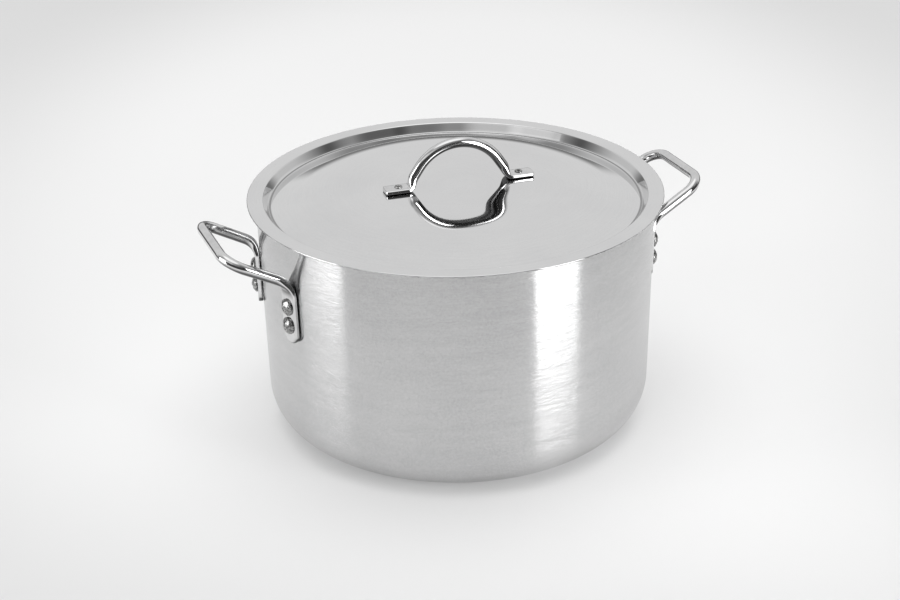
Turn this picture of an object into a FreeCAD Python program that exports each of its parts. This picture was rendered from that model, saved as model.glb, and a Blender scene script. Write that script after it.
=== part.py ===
import FreeCAD, Part
import math
import os

from FreeCAD import Placement, Rotation, Vector

# A two-handled aluminium stock pot with a loose lid.
# Frame: origin at the centre of the base, +Z up, side handles at -X and +X. Millimetres.

# ---- Pot: one spun aluminium pan with a slight draft and a large bottom corner ----
MOUTH_RADIUS = 150.0
WALL = 2.5
BASE_THICKNESS = 3.0
POT_HEIGHT = 184.0
BASE_RADIUS = 149.0          # where the wall's line would meet the ground
BOTTOM_CORNER_RADIUS = 34.0
RIM_ROUNDING = 0.9

# ---- Lid: pressed sheet with a flat rim, a step that drops into the mouth and a raised panel ----
LID_RADIUS = 159.0
LID_SHEET = 1.5
LID_EDGE_ROUNDING = 0.7
LID_SEAT_GAP = 0.05
LEDGE_RADIUS = 147.0         # where the flat rim ends and the step begins
STEP_FOOT_RADIUS = 142.4     # where the step ends and the panel begins
STEP_DROP = 7.2
PANEL_RISE = 11.3            # rise of the panel's flat middle over its edge
PLATEAU_RADIUS = 88.0        # of the flat middle
SHOULDER_RADIUS = 110.0      # bend from the flat middle into the cone that falls to the step's foot
LEDGE_BEND_RADIUS = 1.6
STEP_FOOT_BEND_RADIUS = 2.6

# ---- Rod handles: round steel rod, pressed flat at the ends ----
ROD_RADIUS = 4.0
FIT_GAP = 0.05               # a flat end stands this far off the sheet that it is riveted to

# ---- Side handles ----
TAB_AZIMUTH = 15.0           # each tab lies this far round the wall from the handle's middle, degrees
TAB_HALF_WIDTH = 8.5
TAB_THICKNESS = 4.0
TAB_END_ROUNDING = 7.0
TAB_MIDDLE_HEIGHT = 125.5    # half way between the two rivets
TAB_BELOW = 21.5             # from there down to the tab's lower end
TAB_ABOVE = 15.5             # from there up to where the rod starts to round out
RIVET_PITCH = 15.0
BEND_REACH = 11.0            # from the bend's corner, out along the arm, to where the rod is round
BEND_HEIGHT = {"left": 152.0, "right": 149.0}
GRIP_REACH = 193.5
GRIP_CORNER_RADIUS = 16.0
# The grips are bent by hand: (distance from the handle's middle, height) of each grip's two corners.
GRIP_CORNERS = {
    "left": {"front": (40.0, 175.5), "back": (37.0, 178.0)},
    "right": {"front": (38.0, 174.0), "back": (36.0, 173.5)},
}

# ---- Handle rivets ----
RIVET_SHANK_RADIUS = 3.0
RIVET_HOLE_RADIUS = 3.1
RIVET_HEAD_RADIUS = 6.5
RIVET_HEAD_HEIGHT = 4.0
RIVET_HEAD_SIDE = 1.2        # straight side of the head under its dome
INNER_HEAD_HEIGHT = 1.8
INNER_HEAD_SIDE = 0.6

# ---- Lid handle: the same rod in a round arch ----
LID_HANDLE_TURN = -5.0       # the lid lies turned a little from the side handles, degrees
LID_HANDLE_OFFSET = 3.0      # along the handle, from the lid's centre to the handle's middle
FOOT_RIVET_REACH = 48.0      # from the handle's middle
FOOT_OUTER = 11.0            # from the rivet out to the foot's end
FOOT_INNER = 6.5             # from the rivet in to where the rod starts to round out
FOOT_HALF_WIDTH = 6.7
FOOT_THICKNESS = 3.8
FOOT_END_ROUNDING = 2.0
ARCH_RADIUS = 37.5
ARCH_HEIGHT = 33.7           # rod's axis over the panel, at the top
LEG_SLOPE = 56.0             # degrees from level
LEG_START_HEIGHT = 11.0      # rod's axis over the panel where it is fully round
LID_RIVET_SHANK_RADIUS = 2.0
LID_RIVET_HOLE_RADIUS = 2.1
LID_RIVET_RING_RADIUS = 3.0
LID_RIVET_RING_HEIGHT = 0.9
LID_RIVET_BORE_RADIUS = 1.1
LID_RIVET_BORE_DEPTH = 2.0
LID_RIVET_UNDER_RADIUS = 4.5
LID_RIVET_UNDER_HEIGHT = 1.5
LID_RIVET_UNDER_SIDE = 0.5

ORIGIN = Vector(0, 0, 0)
UP = Vector(0, 0, 1)
OVERRUN = 20.0               # how far cutting tools run past what they cut
CLEAR_OF_TANGENT = 0.02      # keeps a cutting outline from only grazing a rounded side
SMOOTH_STEPS = 4             # sections along a flat end's change into round rod

RIM_RADIUS = MOUTH_RADIUS + WALL
DRAFT = math.atan2(RIM_RADIUS - BASE_RADIUS, POT_HEIGHT)
LID_TOP = POT_HEIGHT + LID_SEAT_GAP + LID_SHEET
PANEL_EDGE = LID_TOP - STEP_DROP
PANEL_TOP = PANEL_EDGE + PANEL_RISE


def edges_at(shape, spots):
    """The circular edges about the Z axis at the given (radius, height) spots."""
    found = []
    for edge in shape.Edges:
        if edge.Degenerated or not isinstance(edge.Curve, Part.Circle):
            continue
        for radius, height in spots:
            centre = edge.Curve.Center
            if abs(edge.Curve.Radius - radius) < 0.01 and abs(centre.z - height) < 0.01:
                found.append(edge)
    return found


def turned(edges):
    """The solid made by turning a closed outline in the XZ plane about the Z axis."""
    outline = Part.Wire(Part.__sortEdges__(edges))
    return Part.Face(outline).revolve(ORIGIN, UP, 360)


def profile_line(start, end):
    return Part.LineSegment(Vector(start[0], 0, start[1]), Vector(end[0], 0, end[1])).toShape()


def wall_radius(height):
    """Outside radius of the pot's drafted wall at a height."""
    return BASE_RADIUS + height * math.tan(DRAFT)


def blank_pot():
    """The pot without its rivet holes."""
    side = WALL / math.cos(DRAFT)
    spots = [(0, 0), (BASE_RADIUS, 0), (RIM_RADIUS, POT_HEIGHT), (RIM_RADIUS - side, POT_HEIGHT),
             (wall_radius(BASE_THICKNESS) - side, BASE_THICKNESS), (0, BASE_THICKNESS)]
    pot = turned([profile_line(spots[i], spots[i - 1]) for i in range(len(spots))])
    pot = pot.makeFillet(BOTTOM_CORNER_RADIUS, edges_at(pot, [spots[1]]))
    pot = pot.makeFillet(BOTTOM_CORNER_RADIUS - WALL, edges_at(pot, [spots[4]]))
    return pot.makeFillet(RIM_ROUNDING, edges_at(pot, [spots[2], spots[3]]))


def panel_runs(edge_radius, edge_height):
    """The panel's outline from its edge to the axis: a cone, a rounded shoulder and the flat middle."""
    top = edge_height + PANEL_RISE
    reach = edge_radius - PLATEAU_RADIUS
    rise = SHOULDER_RADIUS - PANEL_RISE
    slope = math.atan2(reach, rise) - math.acos(SHOULDER_RADIUS / math.hypot(reach, rise))

    def on_shoulder(angle):
        return Vector(PLATEAU_RADIUS + SHOULDER_RADIUS * math.sin(angle), 0,
                      top - SHOULDER_RADIUS * (1 - math.cos(angle)))

    shoulder_foot = on_shoulder(slope)
    return [
        profile_line((edge_radius, edge_height), (shoulder_foot.x, shoulder_foot.z)),
        Part.Arc(shoulder_foot, on_shoulder(slope / 2), on_shoulder(0)).toShape(),
        profile_line((PLATEAU_RADIUS, top), (0, top)),
    ]


def blank_lid():
    """The lid's sheet without its rivet holes."""
    step_angle = math.atan2(STEP_DROP, LEDGE_RADIUS - STEP_FOOT_RADIUS)
    mitre = LID_SHEET * math.tan(step_angle / 2)
    under_foot = (STEP_FOOT_RADIUS + mitre, PANEL_EDGE - LID_SHEET)
    under_ledge = (LEDGE_RADIUS + mitre, LID_TOP - LID_SHEET)
    edges = [
        *panel_runs(STEP_FOOT_RADIUS, PANEL_EDGE),
        profile_line((STEP_FOOT_RADIUS, PANEL_EDGE), (LEDGE_RADIUS, LID_TOP)),
        profile_line((LEDGE_RADIUS, LID_TOP), (LID_RADIUS, LID_TOP)),
        profile_line((LID_RADIUS, LID_TOP), (LID_RADIUS, LID_TOP - LID_SHEET)),
        profile_line((LID_RADIUS, LID_TOP - LID_SHEET), under_ledge),
        profile_line(under_ledge, under_foot),
        *panel_runs(*under_foot),
        profile_line((0, PANEL_TOP), (0, PANEL_TOP - LID_SHEET)),
    ]
    lid = turned(edges)
    lid = lid.makeFillet(STEP_FOOT_BEND_RADIUS, edges_at(lid, [(STEP_FOOT_RADIUS, PANEL_EDGE)]))
    lid = lid.makeFillet(LEDGE_BEND_RADIUS + LID_SHEET, edges_at(lid, [(LEDGE_RADIUS, LID_TOP)]))
    lid = lid.makeFillet(LEDGE_BEND_RADIUS, edges_at(lid, [under_ledge]))
    lid = lid.makeFillet(STEP_FOOT_BEND_RADIUS + LID_SHEET, edges_at(lid, [under_foot]))
    return lid.makeFillet(LID_EDGE_ROUNDING, edges_at(lid, [(LID_RADIUS, LID_TOP),
                                                             (LID_RADIUS, LID_TOP - LID_SHEET)]))


def frame_at(origin, normal, along):
    """A local frame: +Z out of the sheet, +Y along the flat end towards the rod, +X across it."""
    across = along.cross(normal)
    matrix = FreeCAD.Matrix(across.x, along.x, normal.x, origin.x,
                            across.y, along.y, normal.y, origin.y,
                            across.z, along.z, normal.z, origin.z,
                            0, 0, 0, 1)
    return Placement(matrix)


def tab_frame(azimuth):
    """The frame on the pot's wall half way between a tab's two rivets."""
    angle = math.radians(azimuth)
    out = Vector(math.cos(angle), math.sin(angle), 0)
    normal = out * math.cos(DRAFT) - UP * math.sin(DRAFT)
    along = out * math.sin(DRAFT) + UP * math.cos(DRAFT)
    return frame_at(out * wall_radius(TAB_MIDDLE_HEIGHT) + UP * TAB_MIDDLE_HEIGHT, normal, along)


def foot_frame(side):
    """The frame on the lid's panel at the rivet of the foot on the -X (-1) or +X (1) side."""
    rivet = Vector(LID_HANDLE_OFFSET + side * FOOT_RIVET_REACH, 0, PANEL_TOP)
    return frame_at(rivet, UP, Vector(-side, 0, 0))


def rod_section(centre, across, thick, roundness, half_width, half_thickness):
    """A closed section that goes from a flat bar (roundness 0) to the round rod (roundness 1)."""
    def blend(flat, rounded):
        return flat + (rounded - flat) * roundness

    diagonal = ROD_RADIUS / math.sqrt(2)
    corner_x = blend(half_width - half_thickness / 2, diagonal)
    corner_y = blend(half_thickness, diagonal)
    side = blend(half_width, ROD_RADIUS)
    face = blend(half_thickness, ROD_RADIUS)

    def at(x, y):
        return centre + across * x + thick * y

    corners = [at(corner_x, corner_y), at(-corner_x, corner_y),
               at(-corner_x, -corner_y), at(corner_x, -corner_y)]
    middles = [at(0, face), at(-side, 0), at(0, -face), at(side, 0)]
    edges = []
    for i in range(4):
        start, end = corners[i], corners[(i + 1) % 4]
        if i % 2 == 0 and roundness == 0:
            edges.append(Part.LineSegment(start, end).toShape())
        else:
            edges.append(Part.Arc(start, middles[i], end).toShape())
    return Part.Wire(edges)


def flat_bar(half_width, thickness, outer, inner, end_rounding):
    """The flat end of a rod in its local frame, from -outer to +inner along Y, rounded at -outer."""
    section = rod_section(Vector(0, -outer, FIT_GAP + thickness / 2), Vector(1, 0, 0), Vector(0, 0, 1),
                          0, half_width, thickness / 2)
    bar = Part.Face(section).extrude(Vector(0, outer + inner, 0))
    clear_width = half_width + CLEAR_OF_TANGENT
    blank = Part.makeBox(2 * clear_width, outer + inner + OVERRUN, thickness + OVERRUN,
                         Vector(-clear_width, -outer, -OVERRUN / 2))
    corners = [edge for edge in blank.Edges
               if edge.BoundBox.ZLength > thickness and edge.BoundBox.YMax < -outer + 0.01]
    return bar.common(blank.makeFillet(end_rounding, corners))


def rounding_out(frame, start, end, end_direction, half_width, thickness):
    """The bend over which the flat bar turns into round rod, from start to end, both in the world."""
    along = frame.Rotation.multVec(Vector(0, 1, 0))
    across = frame.Rotation.multVec(Vector(1, 0, 0))
    reach = (end - start).Length * 0.42
    control = [start, start + along * reach, end - end_direction * reach, end]
    curve = Part.BezierCurve()
    curve.setPoles(control)
    sections = []
    for i in range(SMOOTH_STEPS + 1):
        share = i / SMOOTH_STEPS
        ease = share * share * (3 - 2 * share)
        tangent = curve.tangent(share)[0]
        level = (across - tangent * across.dot(tangent)).normalize()
        thick = level.cross(tangent).normalize()
        sections.append(rod_section(curve.value(share), level, thick, ease, half_width, thickness / 2))
    return Part.makeLoft(sections, True, False)


def straight_rod(start, end):
    return Part.makeCylinder(ROD_RADIUS, (end - start).Length, start, end - start)


def bent_rod(points, bend_radii):
    """Round rod through the points, with a tangent bend at each inner point."""
    pieces = []
    start = points[0]
    for i, radius in enumerate(bend_radii):
        before = (points[i + 1] - points[i]).normalize()
        after = (points[i + 2] - points[i + 1]).normalize()
        turn = before.getAngle(after)
        inset = radius * math.tan(turn / 2)
        bend_start = points[i + 1] - before * inset
        pieces.append(straight_rod(start, bend_start))
        axis = before.cross(after).normalize()
        centre = bend_start + axis.cross(before) * radius
        disc = Part.Face(Part.Wire(Part.makeCircle(ROD_RADIUS, bend_start, before)))
        pieces.append(disc.revolve(centre, axis, math.degrees(turn)))
        start = points[i + 1] + after * inset
    pieces.append(straight_rod(start, points[-1]))
    return pieces


def fused(pieces):
    return pieces[0].multiFuse(pieces[1:]).removeSplitter()


def side_handle(side_name):
    """A side handle on the +X side: two riveted tabs, two rising arms and a straight grip.

    The left handle is made here too and then turned half round, so its front is at +Y."""
    ends = {"front": -1, "back": 1} if side_name == "right" else {"front": 1, "back": -1}
    grip, arm_start, pieces = {}, {}, []
    for end_name, side in ends.items():
        length, height = GRIP_CORNERS[side_name][end_name]
        grip[side] = Vector(GRIP_REACH, side * length, height)
        frame = tab_frame(side * TAB_AZIMUTH)
        bar = flat_bar(TAB_HALF_WIDTH, TAB_THICKNESS, TAB_BELOW, TAB_ABOVE, TAB_END_ROUNDING)
        pieces.append(bar.transformGeometry(frame.toMatrix()))
        start = frame.multVec(Vector(0, TAB_ABOVE, FIT_GAP + TAB_THICKNESS / 2))
        up_wall = frame.Rotation.multVec(Vector(0, 1, 0))
        corner = start + up_wall * (BEND_HEIGHT[side_name] - start.z)
        arm = (grip[side] - corner).normalize()
        arm_start[side] = corner + arm * BEND_REACH
        pieces.append(rounding_out(frame, start, arm_start[side], arm, TAB_HALF_WIDTH, TAB_THICKNESS))
    pieces += bent_rod([arm_start[-1], grip[-1], grip[1], arm_start[1]],
                       [GRIP_CORNER_RADIUS, GRIP_CORNER_RADIUS])
    handle = fused(pieces)
    for side in (-1, 1):
        for y in (-RIVET_PITCH / 2, RIVET_PITCH / 2):
            handle = handle.cut(rivet_hole(tab_frame(side * TAB_AZIMUTH), y, RIVET_HOLE_RADIUS))
    return handle


def rivet_hole(frame, along, radius):
    hole = Part.makeCylinder(radius, 2 * OVERRUN, Vector(0, along, -OVERRUN), UP)
    return placed(hole, frame)


def placed(shape, frame):
    copy = shape.copy()
    copy.Placement = frame
    return copy


def domed_head(radius, height, side):
    """A rivet head on z = 0: a short straight side under a spherical dome."""
    rise = height - side
    sphere_radius = (radius ** 2 + rise ** 2) / (2 * rise)
    dome = Part.makeSphere(sphere_radius, Vector(0, 0, height - sphere_radius))
    return dome.common(Part.makeCylinder(radius, height))


def flipped(shape):
    """The shape turned over, so that what pointed to +Z points to -Z."""
    return placed(shape, Placement(ORIGIN, Rotation(Vector(1, 0, 0), 180)))


def handle_rivet(frame, along, pot):
    """A rivet through a tab and the wall, with its inner head bedded on the wall."""
    seat = FIT_GAP + TAB_THICKNESS
    outer = domed_head(RIVET_HEAD_RADIUS, RIVET_HEAD_HEIGHT, RIVET_HEAD_SIDE)
    outer.translate(Vector(0, along, seat))
    bedding = WALL / 4
    inner = flipped(domed_head(RIVET_HEAD_RADIUS, INNER_HEAD_HEIGHT + bedding, INNER_HEAD_SIDE + bedding))
    inner.translate(Vector(0, along, bedding - WALL))
    shank = Part.makeCylinder(RIVET_SHANK_RADIUS, seat + WALL, Vector(0, along, -WALL), UP)
    rivet = placed(fused([outer, shank, inner]), frame)
    return rivet.cut(pot)


def lid_handle():
    """The arched handle over the lid's panel, before the lid's own turn."""
    pieces = []
    leg_start = {}
    slope = math.radians(LEG_SLOPE)
    apex_gap = ARCH_RADIUS * (1 / math.cos(slope) - 1)
    vertex = Vector(LID_HANDLE_OFFSET, 0, PANEL_TOP + ARCH_HEIGHT + apex_gap)
    leg_fall = ARCH_HEIGHT + apex_gap - LEG_START_HEIGHT
    for side in (-1, 1):
        frame = foot_frame(side)
        bar = flat_bar(FOOT_HALF_WIDTH, FOOT_THICKNESS, FOOT_OUTER, FOOT_INNER, FOOT_END_ROUNDING)
        pieces.append(bar.transformGeometry(frame.toMatrix()))
        start = frame.multVec(Vector(0, FOOT_INNER, FIT_GAP + FOOT_THICKNESS / 2))
        leg = Vector(-side * math.cos(slope), 0, math.sin(slope))
        leg_start[side] = vertex - leg * (leg_fall / math.sin(slope))
        pieces.append(rounding_out(frame, start, leg_start[side], leg, FOOT_HALF_WIDTH, FOOT_THICKNESS))
    pieces += bent_rod([leg_start[-1], vertex, leg_start[1]], [ARCH_RADIUS])
    handle = fused(pieces)
    for side in (-1, 1):
        handle = handle.cut(rivet_hole(foot_frame(side), 0, LID_RIVET_HOLE_RADIUS))
    return handle


def lid_rivet(frame, lid):
    """A semi-tubular rivet through a foot and the lid: a hollow ring on top, a low head below."""
    seat = FIT_GAP + FOOT_THICKNESS
    ring = Part.makeCylinder(LID_RIVET_RING_RADIUS, LID_RIVET_RING_HEIGHT, Vector(0, 0, seat))
    rounded = ring.makeFillet(LID_RIVET_RING_HEIGHT / 2, edges_at(ring, [
        (LID_RIVET_RING_RADIUS, seat + LID_RIVET_RING_HEIGHT)]))
    bedding = LID_SHEET / 3
    under = flipped(domed_head(LID_RIVET_UNDER_RADIUS, LID_RIVET_UNDER_HEIGHT + bedding,
                               LID_RIVET_UNDER_SIDE + bedding))
    under.translate(Vector(0, 0, bedding - LID_SHEET))
    shank = Part.makeCylinder(LID_RIVET_SHANK_RADIUS, seat + LID_SHEET, Vector(0, 0, -LID_SHEET), UP)
    bore = Part.makeCylinder(LID_RIVET_BORE_RADIUS, LID_RIVET_BORE_DEPTH + OVERRUN,
                             Vector(0, 0, seat + LID_RIVET_RING_HEIGHT - LID_RIVET_BORE_DEPTH), UP)
    rivet = placed(fused([rounded, shank, under]).cut(bore), frame)
    return rivet.cut(lid)


def pot_parts():
    """The pot, its two handles and their eight rivets."""
    parts = {}
    pot = blank_pot()
    sides = {"right": 0, "left": 180}
    ends = {"front": -1, "back": 1}
    spots = []
    for side_name, around in sides.items():
        for end_name, end in ends.items():
            azimuth = around + end * TAB_AZIMUTH * (1 if side_name == "right" else -1)
            frame = tab_frame(azimuth)
            for level_name, along in (("upper", RIVET_PITCH / 2), ("lower", -RIVET_PITCH / 2)):
                spots.append((f"{side_name}_{end_name}_{level_name}_rivet", frame, along))
    for _, frame, along in spots:
        pot = pot.cut(rivet_hole(frame, along, RIVET_HOLE_RADIUS))
    parts["pot_body"] = pot
    for side_name, around in sides.items():
        handle = side_handle(side_name)
        handle.rotate(ORIGIN, UP, around)
        parts[f"{side_name}_handle"] = handle
    for name, frame, along in spots:
        parts[name] = handle_rivet(frame, along, pot)
    return parts


def lid_parts():
    """The lid, its handle and the handle's two rivets, all turned together."""
    lid = blank_lid()
    for side in (-1, 1):
        lid = lid.cut(rivet_hole(foot_frame(side), 0, LID_RIVET_HOLE_RADIUS))
    parts = {"lid_panel": lid, "lid_handle": lid_handle()}
    for name, side in (("lid_left_rivet", -1), ("lid_right_rivet", 1)):
        parts[name] = lid_rivet(foot_frame(side), lid)
    for shape in parts.values():
        shape.rotate(ORIGIN, UP, LID_HANDLE_TURN)
    return parts


def main():
    os.makedirs("parts", exist_ok=True)
    parts = pot_parts()
    parts.update(lid_parts())
    for name, shape in parts.items():
        solids = shape.Solids
        box = shape.optimalBoundingBox()
        print(f"{name}: {len(solids)} solid, valid {shape.isValid()}, volume {shape.Volume:.0f}, "
              f"x {box.XMin:.1f}..{box.XMax:.1f} y {box.YMin:.1f}..{box.YMax:.1f} "
              f"z {box.ZMin:.1f}..{box.ZMax:.1f}")
        if len(solids) != 1:
            raise SystemExit(f"{name} is not one solid")
        solids[0].exportStep(f"parts/{name}.step")


main()
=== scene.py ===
import math
import random

import bmesh
import bpy
from mathutils import Matrix, Vector, noise


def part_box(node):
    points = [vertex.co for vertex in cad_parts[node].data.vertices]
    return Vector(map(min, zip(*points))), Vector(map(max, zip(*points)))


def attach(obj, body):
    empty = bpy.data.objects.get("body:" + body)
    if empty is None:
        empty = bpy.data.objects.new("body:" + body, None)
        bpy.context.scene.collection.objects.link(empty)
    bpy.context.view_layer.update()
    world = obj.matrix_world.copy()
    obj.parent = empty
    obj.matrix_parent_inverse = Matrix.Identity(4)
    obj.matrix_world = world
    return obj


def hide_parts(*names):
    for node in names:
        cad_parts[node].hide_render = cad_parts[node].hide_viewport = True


# The looks of a two-handled aluminium stock pot with a loose lid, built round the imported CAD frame.
# Everything is in metres in the CAD frame: origin at the centre of the base, +Z up, handles at -X and +X.

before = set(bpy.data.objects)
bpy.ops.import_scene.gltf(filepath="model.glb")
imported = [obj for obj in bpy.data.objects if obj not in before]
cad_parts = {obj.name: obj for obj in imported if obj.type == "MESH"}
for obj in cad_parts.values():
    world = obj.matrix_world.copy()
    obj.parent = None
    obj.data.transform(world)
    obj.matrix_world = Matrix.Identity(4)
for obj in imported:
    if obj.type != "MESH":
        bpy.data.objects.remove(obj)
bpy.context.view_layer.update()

MM = 0.001
UP = Vector((0, 0, 1))

# ---- Sizes read from the frame ----
POT_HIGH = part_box("pot_body")[1]
LID_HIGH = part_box("lid_panel")[1]
INSET = 0.02 * MM        # keeps the lid's mesh just inside its CAD box
RIM_RADIUS = POT_HIGH.x
POT_HEIGHT = POT_HIGH.z
LID_RADIUS = LID_HIGH.x - INSET
PANEL_TOP = LID_HIGH.z - INSET

# ---- Pot ----
WALL = 2.5 * MM
BASE_THICKNESS = 3.0 * MM
BASE_RADIUS = 149.0 * MM
BOTTOM_CORNER = 34.0 * MM
RIM_ROUNDING = 1.1 * MM
DRAFT = math.atan2(RIM_RADIUS - BASE_RADIUS, POT_HEIGHT)
WALL_WAVE_DEPTH = 0.045 * MM
WALL_WAVES_ROUND = 18.0      # noise cells in a metre across the pot and up it
WALL_WAVES_UP = 9.0

# ---- Lid ----
LID_SHEET = 1.5 * MM
LID_SEAT_GAP = 0.05 * MM
LID_TOP = POT_HEIGHT + LID_SEAT_GAP + LID_SHEET
LID_EDGE_ROUNDING = 0.7 * MM
LEDGE_RADIUS = 147.0 * MM
STEP_FOOT_RADIUS = 142.4 * MM
STEP_DROP = 7.2 * MM
LEDGE_BEND = 1.6 * MM
LEDGE_BEND_TOP = 1.5 * MM
STEP_FOOT_BEND = 1.4 * MM
PANEL_EDGE = LID_TOP - STEP_DROP
PANEL_RISE = PANEL_TOP - PANEL_EDGE
PLATEAU_RADIUS = 88.0 * MM
SHOULDER_RADIUS = 110.0 * MM
PANEL_WAVE_DEPTH = 0.10 * MM
PANEL_WAVES = 14.0           # noise cells in a metre
PANEL_WAVE_LEVEL = 3.1       # the level of the noise that is used
DENT_CENTRE = Vector((14.0, -47.0)) * MM
DENT_ACROSS = Vector((0.927, -0.375))    # the dent is narrow this way and long the other way
DENT_SIZE = (16.5 * MM, 30.0 * MM)
DENT_DEPTH = 2.0 * MM

# ---- Rod handles ----
ROD_RADIUS = 4.0 * MM
FIT_GAP = 0.05 * MM
NOSE_ROUNDING = 0.6 * MM
NOSE_FLATNESS = 0.55         # thickness left at the very end of a flat, as a share
NOSE_STATIONS = [0.0, 0.1, 0.3, 0.6, 1.0, 1.5, 2.2, 3.0, 4.0, 5.0, 6.0]    # mm from the flat's end
FLAT_STATIONS = 10
BEND_STATIONS = 18
BEND_PULL = 0.42             # length of the bend's handles as a share of its chord
FLAT_SQUARENESS = 4.0        # superellipse power of a flattened section; 2 is round
RING_POINTS = 48

# ---- Side handles ----
TAB_AZIMUTH = math.radians(15.0)
TAB_HALF_WIDTH = 8.5 * MM
TAB_THICKNESS = 4.0 * MM
TAB_END_ROUNDING = 7.0 * MM
TAB_MIDDLE_HEIGHT = 125.5 * MM
TAB_BELOW = 21.5 * MM
TAB_ABOVE = 15.5 * MM
RIVET_PITCH = 15.0 * MM
BEND_REACH = 11.0 * MM
BEND_HEIGHT = {"left": 152.0 * MM, "right": 149.0 * MM}
GRIP_REACH = 193.5 * MM
GRIP_CORNER = 16.0 * MM
GRIP_CORNERS = {
    "left": {"front": (40.0 * MM, 175.5 * MM), "back": (37.0 * MM, 178.0 * MM)},
    "right": {"front": (38.0 * MM, 174.0 * MM), "back": (36.0 * MM, 173.5 * MM)},
}

# ---- Handle rivets ----
RIVET_SHANK = 3.0 * MM
RIVET_HEAD = 6.5 * MM
RIVET_HEAD_HEIGHT = 4.0 * MM
RIVET_HEAD_SIDE = 1.2 * MM
INNER_HEAD_HEIGHT = 1.8 * MM
INNER_HEAD_SIDE = 0.6 * MM
HEAD_EDGE = 0.35 * MM
HAMMER_MARKS = 16
HAMMER_DEPTH = 0.45 * MM
HAMMER_REACH = 0.9           # of the head's radius
HAMMER_START = 0.35          # marks start this share of the way up

# ---- Lid handle ----
LID_TURN = math.radians(-5.0)
LID_HANDLE_OFFSET = 3.0 * MM
FOOT_RIVET_REACH = 48.0 * MM
FOOT_OUTER = 11.0 * MM
FOOT_INNER = 6.5 * MM
FOOT_HALF_WIDTH = 6.7 * MM
FOOT_THICKNESS = 3.8 * MM
FOOT_END_ROUNDING = 2.0 * MM
ARCH_RADIUS = 37.5 * MM
ARCH_HEIGHT = 33.7 * MM
LEG_SLOPE = math.radians(56.0)
LEG_START_HEIGHT = 11.0 * MM
LID_RIVET_RING = 3.0 * MM
LID_RIVET_RING_HEIGHT = 0.9 * MM
LID_RIVET_BORE = 1.1 * MM
LID_RIVET_BORE_DEPTH = 2.0 * MM
LID_RIVET_SHANK = 2.0 * MM
LID_RIVET_UNDER = 4.5 * MM
LID_RIVET_UNDER_HEIGHT = 1.5 * MM
LID_RIVET_UNDER_SIDE = 0.5 * MM

# ---- Camera, in the frame: where it stands round the pot and how it looks ----
CAMERA_AZIMUTH = math.radians(-22.0)
CAMERA_ELEVATION = math.radians(22.33)
CAMERA_DISTANCE = 1.4557     # from the centre of the rim
CAMERA_YAW = math.radians(-0.24)
CAMERA_PITCH = math.radians(25.61)
CAMERA_ROLL = math.radians(-1.08)
CAMERA_LENS = 76.0
CAMERA_SENSOR = 36.0

# ---- Mesh fineness ----
LATHE_SEGMENTS = 288
RIVET_SEGMENTS = 64
LID_RIVET_SEGMENTS = 48
PLATEAU_STEPS = 30
SHOULDER_STEPS = 24
SLOPE_STEPS = 8


# ================= mesh building =================

def make_object(name, vertices, faces):
    mesh = bpy.data.meshes.new(name)
    mesh.from_pydata([tuple(v) for v in vertices], [], faces)
    mesh.validate()
    mesh.polygons.foreach_set("use_smooth", [True] * len(mesh.polygons))
    mesh.update()
    piece = bpy.data.objects.new(name, mesh)
    bpy.context.scene.collection.objects.link(piece)
    return piece


def rounded_outline(corners, radii, arc_step=math.radians(6)):
    """(r, z) points along an outline; the corner between two runs is a tangent arc of its radius."""
    points = [Vector(corners[0])]
    support = 0.35 * MM
    for before, corner, after, radius in zip(corners, corners[1:], corners[2:], radii):
        into = (Vector(corner) - Vector(before)).normalized()
        out = (Vector(after) - Vector(corner)).normalized()
        turn = math.atan2(into.cross(out), into.dot(out))
        inset = radius * math.tan(abs(turn) / 2)
        start = Vector(corner) - into * inset
        side = Vector((-into.y, into.x)) * math.copysign(1, turn)
        centre = start + side * radius
        steps = max(4, math.ceil(abs(turn) / arc_step))
        points.append(start - into * support)
        for i in range(steps + 1):
            angle = turn * i / steps
            spoke = start - centre
            points.append(centre + Vector((spoke.x * math.cos(angle) - spoke.y * math.sin(angle),
                                           spoke.x * math.sin(angle) + spoke.y * math.cos(angle))))
        points.append(Vector(corner) + out * (inset + support))
    points.append(Vector(corners[-1]))
    return points


def filled_in(points, longest):
    """The same outline with its long runs divided."""
    dense = [points[0]]
    for start, end in zip(points, points[1:]):
        parts = max(1, math.ceil((end - start).length / longest))
        dense += [start.lerp(end, i / parts) for i in range(1, parts + 1)]
    return dense


def lathe(name, outline, segments=LATHE_SEGMENTS, place=None, shape=None):
    """Turns (r, z) points about Z, from the axis round to the axis again, into a closed mesh.

    shape moves each point before place puts it into the frame."""
    rings, vertices = [], []
    for r, z in outline:
        if r < 1e-7:
            rings.append([len(vertices)])
            vertices.append(Vector((0, 0, z)))
            continue
        first = len(vertices)
        for i in range(segments):
            angle = 2 * math.pi * i / segments
            vertices.append(Vector((r * math.cos(angle), r * math.sin(angle), z)))
        rings.append(list(range(first, first + segments)))
    faces = []
    for lower, upper in zip(rings, rings[1:]):
        for i in range(segments):
            j = (i + 1) % segments
            if len(lower) == 1:
                faces.append((lower[0], upper[j], upper[i]))
            elif len(upper) == 1:
                faces.append((lower[i], lower[j], upper[0]))
            else:
                faces.append((lower[i], lower[j], upper[j], upper[i]))
    if shape:
        vertices = [shape(v) for v in vertices]
    if place:
        vertices = [place @ v for v in vertices]
    return make_object(name, vertices, faces)


def weighted_normals(piece):
    modifier = piece.modifiers.new("even shading", "WEIGHTED_NORMAL")
    modifier.mode = "FACE_AREA"
    modifier.weight = 50


# ================= pot and lid =================

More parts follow.
